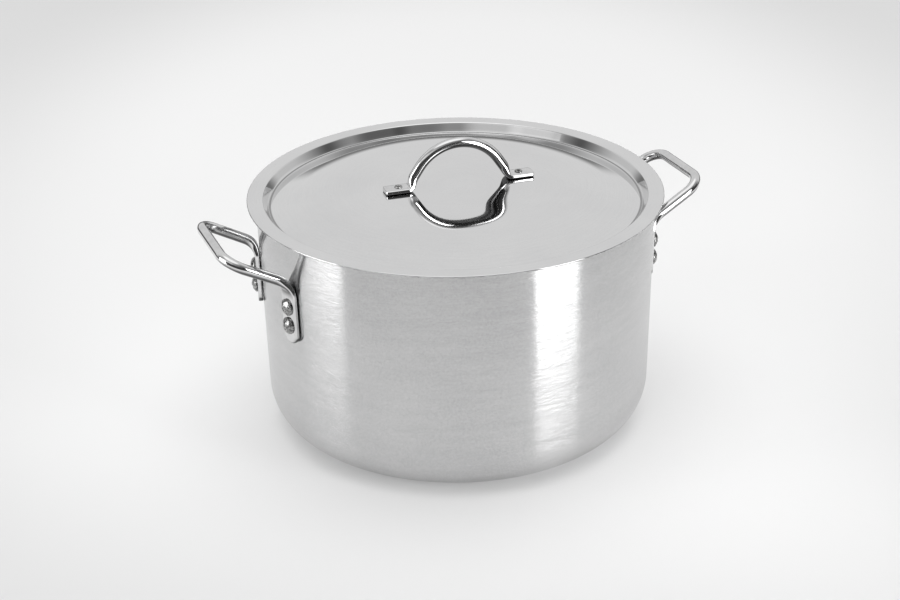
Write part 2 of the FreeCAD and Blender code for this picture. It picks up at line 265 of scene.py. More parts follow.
def pot_waves(v):
    """The slight waviness that spinning leaves in the wall."""
    r = math.hypot(v.x, v.y)
    if r < 1e-6:
        return v
    spot = Vector((v.x * WALL_WAVES_ROUND, v.y * WALL_WAVES_ROUND, v.z * WALL_WAVES_UP))
    depth = WALL_WAVE_DEPTH * noise.noise(spot)
    out = Vector((v.x / r, v.y / r, 0))
    return v - out * (abs(depth) * min(1, r / RIM_RADIUS))


def make_pot():
    side = WALL / math.cos(DRAFT)
    inner_base = BASE_RADIUS + BASE_THICKNESS * math.tan(DRAFT) - side
    corners = [(0, 0), (BASE_RADIUS, 0), (RIM_RADIUS, POT_HEIGHT), (RIM_RADIUS - side, POT_HEIGHT),
               (inner_base, BASE_THICKNESS), (0, BASE_THICKNESS)]
    radii = [BOTTOM_CORNER, RIM_ROUNDING, RIM_ROUNDING, BOTTOM_CORNER - WALL]
    outline = filled_in(rounded_outline(corners, radii, math.radians(4)), 5 * MM)
    return lathe("pot", outline, shape=pot_waves)


def panel_outline():
    """(r, z) points of the panel's top from the axis out to near the step's foot."""
    reach = STEP_FOOT_RADIUS - PLATEAU_RADIUS
    slope = math.atan2(reach, SHOULDER_RADIUS - PANEL_RISE)
    slope -= math.acos(SHOULDER_RADIUS / math.hypot(reach, SHOULDER_RADIUS - PANEL_RISE))
    points = [(PLATEAU_RADIUS * i / PLATEAU_STEPS, PANEL_TOP) for i in range(PLATEAU_STEPS)]
    for i in range(SHOULDER_STEPS + 1):
        angle = slope * i / SHOULDER_STEPS
        points.append((PLATEAU_RADIUS + SHOULDER_RADIUS * math.sin(angle),
                       PANEL_TOP - SHOULDER_RADIUS * (1 - math.cos(angle))))
    start = points[-1]
    for i in range(1, SLOPE_STEPS):
        share = i / SLOPE_STEPS
        points.append((start[0] + (STEP_FOOT_RADIUS - start[0]) * share,
                       start[1] + (PANEL_EDGE - start[1]) * share))
    return points


def lid_waves(v):
    """Slight waves in the pressed panel, with a shallow dent in front of the handle."""
    r = math.hypot(v.x, v.y)
    inside = max(0, 1 - (r / STEP_FOOT_RADIUS) ** 4)
    cell = Vector((v.x * PANEL_WAVES, v.y * PANEL_WAVES, PANEL_WAVE_LEVEL))
    wave = PANEL_WAVE_DEPTH * noise.noise(cell) * inside
    spot = Vector((v.x, v.y)) - DENT_CENTRE
    across = spot.dot(DENT_ACROSS) / DENT_SIZE[0]
    lengthways = spot.cross(DENT_ACROSS) / DENT_SIZE[1]
    dent = DENT_DEPTH * math.exp(-across ** 2 - lengthways ** 2)
    return v + UP * (wave - dent)


def make_lid():
    step_angle = math.atan2(STEP_DROP, LEDGE_RADIUS - STEP_FOOT_RADIUS)
    mitre = LID_SHEET * math.tan(step_angle / 2)
    panel = panel_outline()
    near = panel[-1]
    top = [near, (STEP_FOOT_RADIUS, PANEL_EDGE), (LEDGE_RADIUS, LID_TOP), (LID_RADIUS, LID_TOP),
           (LID_RADIUS, LID_TOP - LID_SHEET), (LEDGE_RADIUS + mitre, LID_TOP - LID_SHEET),
           (STEP_FOOT_RADIUS + mitre, PANEL_EDGE - LID_SHEET), (near[0], near[1] - LID_SHEET)]
    radii = [STEP_FOOT_BEND, LEDGE_BEND_TOP, LID_EDGE_ROUNDING, LID_EDGE_ROUNDING,
             LEDGE_BEND, STEP_FOOT_BEND + LID_SHEET]
    rim = rounded_outline(top, radii, math.radians(5))
    upper = [Vector(p) for p in panel[:-1]]
    lower = [Vector((r, z - LID_SHEET)) for r, z in reversed(panel[:-1])]
    outline = upper + rim + lower
    outline.reverse()
    return lathe("lid", outline, shape=lid_waves)


# ================= bent rods =================

def section_ring(centre, across, thick, half_width, half_thickness, roundness):
    """Points round a section that goes from flattened (roundness 0) to the round rod (roundness 1)."""
    power = FLAT_SQUARENESS + (2 - FLAT_SQUARENESS) * roundness
    wide = half_width + (ROD_RADIUS - half_width) * roundness
    deep = half_thickness + (ROD_RADIUS - half_thickness) * roundness
    ring = []
    for i in range(RING_POINTS):
        angle = 2 * math.pi * i / RING_POINTS
        c, s = math.cos(angle), math.sin(angle)
        x = math.copysign(abs(c) ** (2 / power), c) * wide
        y = math.copysign(abs(s) ** (2 / power), s) * deep
        ring.append(centre + across * x + thick * y)
    return ring


def half_rod(place, outer, inner, half_width, thickness, end_rounding, leg_start, leg, route):
    """Rings from a flat end, along the bend that rounds it out, to the end of the route.

    place is the flat end's frame (+Z out of the sheet, +Y towards the rod); route holds
    (point, direction) stations of the round rod after leg_start."""
    rotation = place.to_3x3()
    across, along, normal = (rotation @ Vector(axis) for axis in ((1, 0, 0), (0, 1, 0), (0, 0, 1)))
    middle = FIT_GAP + thickness / 2
    rings = []
    run = [n * MM for n in NOSE_STATIONS if n * MM <= max(end_rounding, NOSE_ROUNDING)]
    rest = outer + inner - run[-1]
    run += [run[-1] + rest * i / FLAT_STATIONS for i in range(1, FLAT_STATIONS + 1)]
    for s in run:
        wide = half_width
        if s < end_rounding:
            wide = half_width - end_rounding + math.sqrt(end_rounding ** 2 - (end_rounding - s) ** 2)
        deep = thickness / 2
        if s < NOSE_ROUNDING:
            share = math.sqrt(1 - (1 - s / NOSE_ROUNDING) ** 2)
            deep = deep * NOSE_FLATNESS + deep * (1 - NOSE_FLATNESS) * share
        centre = place @ Vector((0, s - outer, middle))
        rings.append(section_ring(centre, across, normal, wide, deep, 0))
    start = place @ Vector((0, inner, middle))
    reach = (leg_start - start).length * BEND_PULL
    poles = [start, start + along * reach, leg_start - leg * reach, leg_start]
    for i in range(1, BEND_STATIONS + 1):
        t = i / BEND_STATIONS
        u = 1 - t
        centre = (poles[0] * u ** 3 + poles[1] * 3 * u * u * t
                  + poles[2] * 3 * u * t * t + poles[3] * t ** 3)
        tangent = ((poles[1] - poles[0]) * u * u + (poles[2] - poles[1]) * 2 * u * t
                   + (poles[3] - poles[2]) * t * t).normalized()
        level = (across - tangent * across.dot(tangent)).normalized()
        thick = level.cross(tangent).normalized()
        rings.append(section_ring(centre, level, thick, half_width, thickness / 2, t * t * (3 - 2 * t)))
    for centre, tangent in route:
        level = (level - tangent * level.dot(tangent)).normalized()
        thick = level.cross(tangent).normalized()
        rings.append(section_ring(centre, level, thick, half_width, thickness / 2, 1))
    return rings


def arc_stations(start, into, out, radius, step=math.radians(4)):
    """(point, direction) stations round a bend that starts at start going into and leaves going out."""
    turn = into.angle(out)
    axis = into.cross(out).normalized()
    centre = start + axis.cross(into) * radius
    steps = max(6, math.ceil(turn / step))
    stations = []
    for i in range(1, steps + 1):
        spin = Matrix.Rotation(turn * i / steps, 3, axis)
        stations.append((centre + spin @ (start - centre), spin @ into))
    return stations


def line_stations(start, end, longest=4 * MM):
    direction = (end - start).normalized()
    parts = max(1, math.ceil((end - start).length / longest))
    return [(start.lerp(end, i / parts), direction) for i in range(1, parts + 1)]


def joined_rod(name, first, second, place):
    """Joins two half rods, each a list of rings from its flat end to the common middle ring."""
    meeting, facing = first[-1], second[-1]

    def mismatch(turn):
        pairs = ((meeting[i], facing[(turn - i) % RING_POINTS]) for i in range(RING_POINTS))
        return sum((a - b).length for a, b in pairs)

    turn = min(range(RING_POINTS), key=mismatch)
    onward = [[ring[(turn - i) % RING_POINTS] for i in range(RING_POINTS)]
              for ring in reversed(second[:-1])]
    vertices, faces = [], []
    for ring in first + onward:
        vertices += ring
    count = len(first) + len(onward)
    for k in range(count - 1):
        for i in range(RING_POINTS):
            j = (i + 1) % RING_POINTS
            a, b = k * RING_POINTS, (k + 1) * RING_POINTS
            faces.append((a + i, a + j, b + j, b + i))
    for start in (0, (count - 1) * RING_POINTS):
        hub = sum((vertices[start + i] for i in range(RING_POINTS)), Vector()) / RING_POINTS
        vertices.append(hub)
        for i in range(RING_POINTS):
            faces.append((len(vertices) - 1, start + i, start + (i + 1) % RING_POINTS))
    piece = make_object(name, [place @ v for v in vertices], faces)
    outward(piece)
    weighted_normals(piece)
    return piece


def outward(piece):
    """Turns the faces so that they all look out."""
    work = bmesh.new()
    work.from_mesh(piece.data)
    bmesh.ops.recalc_face_normals(work, faces=work.faces)
    work.to_mesh(piece.data)
    work.free()
    piece.data.update()


# ================= side handles and their rivets =================

def wall_frame(azimuth, height):
    """A frame on the wall's outside: +Z out of the wall, +Y up along it, +X across."""
    radius = BASE_RADIUS + height * math.tan(DRAFT)
    out = Vector((math.cos(azimuth), math.sin(azimuth), 0))
    normal = out * math.cos(DRAFT) - UP * math.sin(DRAFT)
    along = out * math.sin(DRAFT) + UP * math.cos(DRAFT)
    across = along.cross(normal)
    matrix = Matrix((across, along, normal)).transposed().to_4x4()
    matrix.translation = out * radius + UP * height
    return matrix


def make_side_handle(side):
    """A side handle on the +X side; the left one is made here too and then turned half round."""
    ends = {"front": -1, "back": 1} if side == "right" else {"front": 1, "back": -1}
    grip = {way: Vector((GRIP_REACH, way * GRIP_CORNERS[side][end][0], GRIP_CORNERS[side][end][1]))
            for end, way in ends.items()}
    middle = (grip[-1] + grip[1]) / 2
    halves = []
    for way in (-1, 1):
        place = wall_frame(way * TAB_AZIMUTH, TAB_MIDDLE_HEIGHT)
        start = place @ Vector((0, TAB_ABOVE, FIT_GAP + TAB_THICKNESS / 2))
        up_wall = place.to_3x3() @ Vector((0, 1, 0))
        corner = start + up_wall * (BEND_HEIGHT[side] - start.z)
        arm = (grip[way] - corner).normalized()
        arm_start = corner + arm * BEND_REACH
        along_grip = (middle - grip[way]).normalized()
        arc_start = grip[way] - arm * GRIP_CORNER * math.tan(arm.angle(along_grip) / 2)
        route = line_stations(arm_start, arc_start)
        route += arc_stations(arc_start, arm, along_grip, GRIP_CORNER)
        route += line_stations(route[-1][0], middle)
        halves.append(half_rod(place, TAB_BELOW, TAB_ABOVE, TAB_HALF_WIDTH, TAB_THICKNESS,
                               TAB_END_ROUNDING, arm_start, arm, route))
    around = Matrix.Rotation(math.pi if side == "left" else 0, 4, "Z")
    return joined_rod(f"{side}_rod_handle", *halves, around)


def dome_outline(radius, height, side, steps=12):
    """(r, z) points of a rivet head on z = 0, from its top in the middle down to its seat."""
    rise = height - side
    sphere = (radius ** 2 + rise ** 2) / (2 * rise)
    half = math.asin(radius / sphere)
    points = [(sphere * math.sin(half * i / steps), height - sphere * (1 - math.cos(half * i / steps)))
              for i in range(steps)]
    points += [(radius - HEAD_EDGE * 0.4, side + HEAD_EDGE * 0.25), (radius, side - HEAD_EDGE * 0.4),
               (radius, side * 0.5), (radius, 0)]
    return points


def hammered(seed, radius, height):
    """A function that presses the marks of a hammer into the dome of a rivet head."""
    rng = random.Random(seed)
    marks = []
    for _ in range(HAMMER_MARKS):
        angle = rng.uniform(0, 2 * math.pi)
        reach = radius * math.sqrt(rng.random()) * HAMMER_REACH
        size = rng.uniform(0.9, 2.2) * MM
        deep = rng.uniform(0.3, 1.0) * HAMMER_DEPTH
        marks.append((reach * math.cos(angle), reach * math.sin(angle), size, deep))

    def press(v):
        if v.z < height * HAMMER_START:
            return v
        depth = 0
        for x, y, size, deep in marks:
            near = 1 - ((v.x - x) ** 2 + (v.y - y) ** 2) / size ** 2
            if near > 0:
                depth = max(depth, deep * min(1, 1.6 * near))
        return v - UP * depth
    return press


def make_handle_rivet(node, seed):
    low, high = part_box(node)
    centre = (low + high) / 2
    along = math.copysign(RIVET_PITCH / 2, centre.z - TAB_MIDDLE_HEIGHT)
    azimuth = math.copysign(TAB_AZIMUTH, centre.y)
    if centre.x < 0:
        azimuth = math.pi - azimuth
    place = wall_frame(azimuth, TAB_MIDDLE_HEIGHT) @ Matrix.Translation((0, along, 0))
    seat = FIT_GAP + TAB_THICKNESS
    head = dome_outline(RIVET_HEAD, RIVET_HEAD_HEIGHT, RIVET_HEAD_SIDE, 20)
    outline = [(r, z + seat) for r, z in head]
    outline += [(RIVET_SHANK, seat), (RIVET_SHANK, -WALL)]
    inner = dome_outline(RIVET_HEAD, INNER_HEAD_HEIGHT, INNER_HEAD_SIDE)
    outline += [(r, -WALL - z) for r, z in reversed(inner)]
    outline.reverse()
    press = hammered(seed, RIVET_HEAD, seat + RIVET_HEAD_HEIGHT)
    return lathe(node.replace("rivet", "rivet_head"), outline, RIVET_SEGMENTS, place, press)


# ================= lid handle and its rivets =================

def foot_frame(side):
    """A frame on the lid's panel at the rivet on the -X (-1) or +X (1) side, before the lid's turn."""
    along = Vector((-side, 0, 0))
    matrix = Matrix((along.cross(UP), along, UP)).transposed().to_4x4()
    matrix.translation = Vector((LID_HANDLE_OFFSET + side * FOOT_RIVET_REACH, 0, PANEL_TOP))
    return matrix


def make_lid_handle():
    apex_gap = ARCH_RADIUS * (1 / math.cos(LEG_SLOPE) - 1)
    vertex = Vector((LID_HANDLE_OFFSET, 0, PANEL_TOP + ARCH_HEIGHT + apex_gap))
    leg_fall = ARCH_HEIGHT + apex_gap - LEG_START_HEIGHT
    halves = []
    for side in (-1, 1):
        leg = Vector((-side * math.cos(LEG_SLOPE), 0, math.sin(LEG_SLOPE)))
        leg_start = vertex - leg * (leg_fall / math.sin(LEG_SLOPE))
        arc_start = vertex - leg * ARCH_RADIUS * math.tan(LEG_SLOPE)
        route = line_stations(leg_start, arc_start, 3 * MM)
        route += arc_stations(arc_start, leg, Vector((-side, 0, 0)), ARCH_RADIUS)
        halves.append(half_rod(foot_frame(side), FOOT_OUTER, FOOT_INNER, FOOT_HALF_WIDTH,
                               FOOT_THICKNESS, FOOT_END_ROUNDING, leg_start, leg, route))
    return joined_rod("lid_rod_handle", *halves, Matrix.Rotation(LID_TURN, 4, "Z"))


def make_lid_rivet(node, side):
    place = Matrix.Rotation(LID_TURN, 4, "Z") @ foot_frame(side)
    seat = FIT_GAP + FOOT_THICKNESS
    top = seat + LID_RIVET_RING_HEIGHT
    bottom = top - LID_RIVET_BORE_DEPTH
    lip = (LID_RIVET_RING - LID_RIVET_BORE) / 2
    outline = [(0, bottom + 0.35 * MM), (LID_RIVET_BORE * 0.5, bottom + 0.2 * MM),
               (LID_RIVET_BORE, bottom)]
    ring_middle = LID_RIVET_BORE + lip
    for i in range(13):
        angle = math.pi * (1 - i / 12)
        outline.append((ring_middle + lip * math.cos(angle),
                        seat + LID_RIVET_RING_HEIGHT * (0.25 + 0.75 * math.sin(angle))))
    outline += [(LID_RIVET_RING, seat), (LID_RIVET_SHANK, seat), (LID_RIVET_SHANK, -LID_SHEET)]
    under = dome_outline(LID_RIVET_UNDER, LID_RIVET_UNDER_HEIGHT, LID_RIVET_UNDER_SIDE)
    outline += [(r, -LID_SHEET - z) for r, z in reversed(under)]
    outline.reverse()
    return lathe(node.replace("rivet", "rivet_ring"), outline, LID_RIVET_SEGMENTS, place)


# ================= shader nodes =================

def add_node(tree, kind, **values):
    node = tree.nodes.new(kind)
    for key, value in values.items():
        setattr(node, key, value)
    return node


def math_node(tree, operation, a, b=None):
    node = add_node(tree, "ShaderNodeMath", operation=operation)
    for socket, value in zip(node.inputs, (a, b)):
        if value is None:
            continue
        if isinstance(value, (int, float)):
            socket.default_value = value
        else:
            tree.links.new(value, socket)
    return node.outputs[0]


def weighted(tree, *parts):
    """The sum of values, each times its share."""
    total = None
    for value, share in reversed(parts):
        part = math_node(tree, "MULTIPLY", value, share)
        total = part if total is None else math_node(tree, "ADD", part, total)
    return total


def mixed(tree, share, first, second):
    """first where share is 0 and second where it is 1."""
    rest = math_node(tree, "MULTIPLY", math_node(tree, "SUBTRACT", 1, share), first)
    return math_node(tree, "ADD", rest, math_node(tree, "MULTIPLY", share, second))


def ranged(tree, value, low, high, start=0.3, end=0.7):
    """Runs from low to high as the value runs from start to end."""
    node = add_node(tree, "ShaderNodeMapRange")
    node.inputs["From Min"].default_value = start
    node.inputs["From Max"].default_value = end
    node.inputs["To Min"].default_value = low
    node.inputs["To Max"].default_value = high
    tree.links.new(value, node.inputs["Value"])
    return node.outputs["Result"]


def smooth(tree, value, start, end, amount):
    """Rises smoothly from 0 at start to amount at end."""
    node = add_node(tree, "ShaderNodeMapRange", interpolation_type="SMOOTHSTEP")
    node.inputs["From Min"].default_value = start
    node.inputs["From Max"].default_value = end
    node.inputs["To Min"].default_value = 0
    node.inputs["To Max"].default_value = amount
    tree.links.new(value, node.inputs["Value"])
    return node.outputs["Result"]


def object_position(tree):
    return add_node(tree, "ShaderNodeTexCoord").outputs["Object"]


def parts_of(tree, vector):
    node = add_node(tree, "ShaderNodeSeparateXYZ")
    tree.links.new(vector, node.inputs[0])
    return node.outputs


def flattened(tree, vector):
    """The vector with its Z taken out."""
    node = add_node(tree, "ShaderNodeVectorMath", operation="MULTIPLY")
    tree.links.new(vector, node.inputs[0])
    node.inputs[1].default_value = (1, 1, 0)
    return node.outputs[0]


def length_of(tree, vector):
    node = add_node(tree, "ShaderNodeVectorMath", operation="LENGTH")
    tree.links.new(vector, node.inputs[0])
    return node.outputs["Value"]


def dot_with(tree, vector, direction):
    node = add_node(tree, "ShaderNodeVectorMath", operation="DOT_PRODUCT")
    tree.links.new(vector, node.inputs[0])
    node.inputs[1].default_value = direction
    return node.outputs["Value"]


def grey_of(tree, value):
    """The colour with this value in all three channels."""
    node = add_node(tree, "ShaderNodeCombineColor")
    for socket in node.inputs:
        tree.links.new(value, socket)
    return node.outputs[0]


def noise_of(tree, vector, scale, detail=3.0, rough=0.5):
    node = add_node(tree, "ShaderNodeTexNoise")
    node.inputs["Scale"].default_value = scale
    node.inputs["Detail"].default_value = detail
    node.inputs["Roughness"].default_value = rough
    tree.links.new(vector, node.inputs["Vector"])
    return node.outputs["Fac"]


def turning_coordinates(tree, around, along):
    """Coordinates whose noise runs in rings about Z: slow round the pot, fast along its outline."""
    x, y, z = parts_of(tree, object_position(tree))
    squares = math_node(tree, "ADD", math_node(tree, "MULTIPLY", x, x), math_node(tree, "MULTIPLY", y, y))
    path = math_node(tree, "ADD", math_node(tree, "SQRT", squares), z)
    joined = add_node(tree, "ShaderNodeCombineXYZ")
    tree.links.new(math_node(tree, "MULTIPLY", x, around), joined.inputs[0])
    tree.links.new(math_node(tree, "MULTIPLY", y, around), joined.inputs[1])
    tree.links.new(math_node(tree, "MULTIPLY", path, along), joined.inputs[2])
    return joined.outputs[0]


def tinted(tree, value, dark, light):
    """A grey between dark and light."""
    node = add_node(tree, "ShaderNodeMix", data_type="RGBA")
    tree.links.new(value, node.inputs["Factor"])
    node.inputs["A"].default_value = (*dark, 1)
    node.inputs["B"].default_value = (*light, 1)
    return node.outputs["Result"]


def darkened(tree, colour, share):
    """The colour times a grey of the given share."""
    node = add_node(tree, "ShaderNodeMix", data_type="RGBA", blend_type="MULTIPLY")
    node.inputs["Factor"].default_value = 1.0
    tree.links.new(colour, node.inputs["A"])
    tree.links.new(grey_of(tree, share), node.inputs["B"])
    return node.outputs["Result"]


def bumped(tree, shader, height, strength, distance):
    node = add_node(tree, "ShaderNodeBump")
    node.inputs["Strength"].default_value = strength
    node.inputs["Distance"].default_value = distance
    tree.links.new(height, node.inputs["Height"])
    tree.links.new(node.outputs["Normal"], shader.inputs["Normal"])


# ================= materials =================

# Darkest and lightest grey of each metal, and its lowest and highest roughness.
POT_GREYS = ((0.53, 0.53, 0.535), (0.67, 0.67, 0.67))
POT_ROUGHNESS = (0.17, 0.27)
LID_GREYS = ((0.82, 0.82, 0.825), (0.89, 0.89, 0.89))
LID_ROUGHNESS = (0.025, 0.05)
STEEL_GREYS = ((0.72, 0.72, 0.725), (0.84, 0.84, 0.84))
STEEL_ROUGHNESS = (0.05, 0.10)
RIVET_GREYS = ((0.10, 0.10, 0.10), (0.46, 0.46, 0.455))
RIVET_ROUGHNESS = (0.18, 0.35)

# Painted shade laid into the metals' colour: the share of the colour that is left on faces that look
# down, and on two rings of the lid (inner radius, outer radius, share), its step face and the step's foot.
LID_UNDERSIDE_SHADE = 0.5
ROD_UNDERSIDE_SHADE = 0.14
SHADE_NORMALS = (-0.35, 0.05)      # the Z of a face's normal where the tone is full, and where it ends
STEP_FACE = (143.2 * MM, 146.6 * MM, 0.80)
STEP_FOOT = (140.9 * MM, 142.6 * MM, 0.42)


def metal(name, colour, roughness, anisotropy=0.0):
    """A metal that starts plain, for its colour and roughness to be linked; (material, tree, shader)."""
    material = bpy.data.materials.new(name)
    material.use_nodes = True
    tree = material.node_tree
    shader = tree.nodes["Principled BSDF"]
    shader.inputs["Metallic"].default_value = 1.0
    shader.inputs["Roughness"].default_value = roughness
    shader.inputs["Base Color"].default_value = (*colour, 1)
    shader.inputs["Anisotropic"].default_value = anisotropy
    if anisotropy:
        shader.inputs["Anisotropic Rotation"].default_value = 0.25
        tangent = add_node(tree, "ShaderNodeTangent", direction_type="RADIAL", axis="Z")
        tree.links.new(tangent.outputs["Tangent"], shader.inputs["Tangent"])
    return material, tree, shader


def underside_shade(tree, under_shade):
    """Painted shade: 1 on faces that look up or sideways, down to under_shade on those that look down."""
    normal = add_node(tree, "ShaderNodeNewGeometry").outputs["Normal"]
    return ranged(tree, parts_of(tree, normal)[2], under_shade, 1.0, *SHADE_NORMALS)


def ring_shade(tree, radius, inner, outer, share):
    """Painted shade: 1 away from a ring between two radii, falling to share inside it."""
    middle, half = (inner + outer) / 2, (outer - inner) / 2
    away = math_node(tree, "ABSOLUTE", math_node(tree, "SUBTRACT", radius, middle))
    return ranged(tree, away, share, 1.0, half * 0.6, half * 1.2)


def pot_material():
    """Aluminium brushed round and round, with cloudy patches and specks."""
    material, tree, shader = metal("brushed aluminium wall", (0.64, 0.64, 0.645), 0.27, 1.0)
    fine = noise_of(tree, turning_coordinates(tree, 90, 2200), 1.0, 4.0, 0.65)
    broad = noise_of(tree, turning_coordinates(tree, 14, 140), 1.0, 5.0, 0.7)
    position = object_position(tree)
    cloud = noise_of(tree, position, 16.0, 4.0)
    speck = noise_of(tree, position, 700.0, 2.0)
    blend = weighted(tree, (fine, 0.35), (broad, 0.2), (cloud, 0.15), (speck, 0.3))
    colour = tinted(tree, ranged(tree, blend, 0, 1, 0.40, 0.60), *POT_GREYS)
    tree.links.new(colour, shader.inputs["Base Color"])
    tree.links.new(ranged(tree, fine, *POT_ROUGHNESS, 0.35, 0.65), shader.inputs["Roughness"])
    bumped(tree, shader, fine, 0.35, 0.03 * MM)
    return material


def lid_material():
    """Aluminium polished almost to a mirror, with faint turning marks, clouds and specks, and painted
    shade on its step and on faces that look down.
    """
    material, tree, shader = metal("polished aluminium lid", (0.88, 0.88, 0.885), 0.04, 0.2)
    fine = noise_of(tree, turning_coordinates(tree, 40, 2200), 1.0, 2.0)
    position = object_position(tree)
    cloud = noise_of(tree, position, 22.0, 5.0)
    speck = noise_of(tree, position, 900.0, 2.0)
    blend = weighted(tree, (fine, 0.3), (cloud, 0.4), (speck, 0.3))
    colour = tinted(tree, ranged(tree, blend, 0, 1, 0.35, 0.65), *LID_GREYS)
    # Painted shade: the colour is darkened on the step face, at the step's foot and on faces that look
    # down.
    radius = length_of(tree, flattened(tree, position))
    rings = math_node(tree, "MULTIPLY", ring_shade(tree, radius, *STEP_FACE),
                      ring_shade(tree, radius, *STEP_FOOT))
    shade = math_node(tree, "MULTIPLY", rings, underside_shade(tree, LID_UNDERSIDE_SHADE))
    tree.links.new(darkened(tree, colour, shade), shader.inputs["Base Color"])
    tree.links.new(ranged(tree, blend, *LID_ROUGHNESS), shader.inputs["Roughness"])
    bumped(tree, shader, speck, 0.06, 0.01 * MM)
    return material


def steel_material():
    """Steel rod polished bright, with a fine uneven grain, and painted shade on faces that look down."""
    material, tree, shader = metal("polished steel rod", (0.6, 0.6, 0.6), 0.08)
    position = object_position(tree)
    cloud = noise_of(tree, position, 120.0, 4.0)
    grain = noise_of(tree, position, 500.0, 2.0)
    colour = tinted(tree, ranged(tree, cloud, 0, 1), *STEEL_GREYS)
    # Painted shade: the colour darkens on faces that look down.
    shade = underside_shade(tree, ROD_UNDERSIDE_SHADE)
    tree.links.new(darkened(tree, colour, shade), shader.inputs["Base Color"])
    tree.links.new(ranged(tree, cloud, *STEEL_ROUGHNESS), shader.inputs["Roughness"])
    bumped(tree, shader, grain, 0.12, 0.03 * MM)
    return material


def rivet_material():
    """Aluminium beaten with a hammer, mottled and rough."""
    material, tree, shader = metal("hammered aluminium rivet", (0.5, 0.5, 0.5), 0.22)
    dents = noise_of(tree, object_position(tree), 600.0, 3.0)
    colour = tinted(tree, ranged(tree, dents, 0, 1, 0.35, 0.65), *RIVET_GREYS)
    tree.links.new(colour, shader.inputs["Base Color"])
    tree.links.new(ranged(tree, dents, *RIVET_ROUGHNESS), shader.inputs["Roughness"])
    bumped(tree, shader, dents, 0.6, 0.3 * MM)
    return material


# ================= pieces =================

def finish_piece(piece, body, node, material):
    piece.data.materials.append(material)
    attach(piece, body)
    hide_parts(node)


def make_pieces():
    wall, lid, steel, rivet = pot_material(), lid_material(), steel_material(), rivet_material()
    finish_piece(make_pot(), "pot", "pot_body", wall)
    finish_piece(make_lid(), "lid", "lid_panel", lid)
    for side in ("left", "right"):
        finish_piece(make_side_handle(side), "pot", f"{side}_handle", steel)
    finish_piece(make_lid_handle(), "lid", "lid_handle", steel)
    seed = 1
    for side in ("left", "right"):
        for end in ("front", "back"):
            for level in ("upper", "lower"):
                node = f"{side}_{end}_{level}_rivet"
                finish_piece(make_handle_rivet(node, seed), "pot", node, rivet)
                seed += 1
    for name, side in (("lid_left_rivet", -1), ("lid_right_rivet", 1)):
        finish_piece(make_lid_rivet(name, side), "lid", name, rivet)


# ================= studio =================

# Floor: its grey near the pot and far from it, which paints a pool of light, and the greys that the metal
# shows when it mirrors it.
FLOOR_HALF = 12.0
FLOOR_DROP = 0.2 * MM
FLOOR_NEAR = 0.80
FLOOR_FAR = 0.66
MIRRORED_FLOOR_NEAR = 0.78
MIRRORED_FLOOR_FAR = 0.04
MIRRORED_FLOOR_FALL = (0.75, 1.25)      # metres from the pot's middle

# The floor's grey paints a pool of light, palest in an oval behind and round the pot: how far back its
# middle lies, its half width and half depth, and the shares of that size where the floor starts to darken
# and stops.
POOL_MIDDLE = 0.5
POOL_HALF_WIDTH = 0.5
POOL_HALF_DEPTH = 0.8
POOL_FALL = (0.6, 1.3)

# Radiance of the studio: a plain back wall, a dark low front, a grey band above it and a bright ceiling.
# The angles, in degrees, are where one runs into the next.
BACK_WALL = 0.70
BACK_LOW = 0.20
BACK_LOW_RISE = (2, 10)
BACK_EDGE = (95, 58)                    # from the middle of the back wall
FRONT_LOW = 0.06
FRONT_HIGH = 0.35
FRONT_RISE = (28, 35)
CEILING = 1.15
CEILING_RISE = (58, 72)
PLAIN_BACKDROP = 0.8                    # what the camera itself sees

# Patches of the front wall: azimuth, elevation, inner and outer radius in degrees, added radiance.
PATCHES = [
    (52, 38, 6, 18, -0.20),
    (25, 42, 4, 16, -0.12),
    (-28, 42, 5, 18, 0.34),
    (-58, 37, 5, 18, 0.5),
]

# Lights. The overhead light is in two halves, one of which casts no shadow, for a faint contact shadow.
OVERHEAD_ELEVATION = 89
OVERHEAD_DISTANCE = 3.0
OVERHEAD_SIZE = 3.2
OVERHEAD_POWER = 38.0
WASH_POWER = 46.0
FILL_ELEVATION = 12
FILL_DISTANCE = 1.6
FILL_SIZE = (2.2, 0.7)
FILL_POWER = 6.0

# Upright strips that the wall mirrors: azimuth, distance, width, power and the height that they aim at.
STRIPS = {
    "left strip": (-70.6, 0.60, 0.28, 0.60, 0.40),
    "right strip": (50, 0.61, 0.25, 0.84, 0.35),
}
STRIP_HEIGHT = 0.6
STRIP_SPREAD = math.radians(70)


def cos_of(degrees):
    return math.cos(math.radians(degrees))


def sin_of(degrees):
    return math.sin(math.radians(degrees))


def studio_direction(azimuth, elevation):
    """A direction in the frame; azimuth is degrees to the right of the studio's front."""
    a = CAMERA_AZIMUTH + math.radians(azimuth)
    e = math.radians(elevation)
    return Vector((math.sin(a) * math.cos(e), -math.cos(a) * math.cos(e), math.sin(e)))


def pool_distance(tree, position):
    """How far a spot on the floor is from the middle of the painted pool of light, as a share of the
    pool's size.
    """
    across = dot_with(tree, position, studio_direction(90, 0))
    deep = math_node(tree, "SUBTRACT", dot_with(tree, position, studio_direction(180, 0)), POOL_MIDDLE)
    joined = add_node(tree, "ShaderNodeCombineXYZ")
    tree.links.new(math_node(tree, "DIVIDE", across, POOL_HALF_WIDTH), joined.inputs[0])
    tree.links.new(math_node(tree, "DIVIDE", deep, POOL_HALF_DEPTH), joined.inputs[1])
    return length_of(tree, joined.outputs[0])


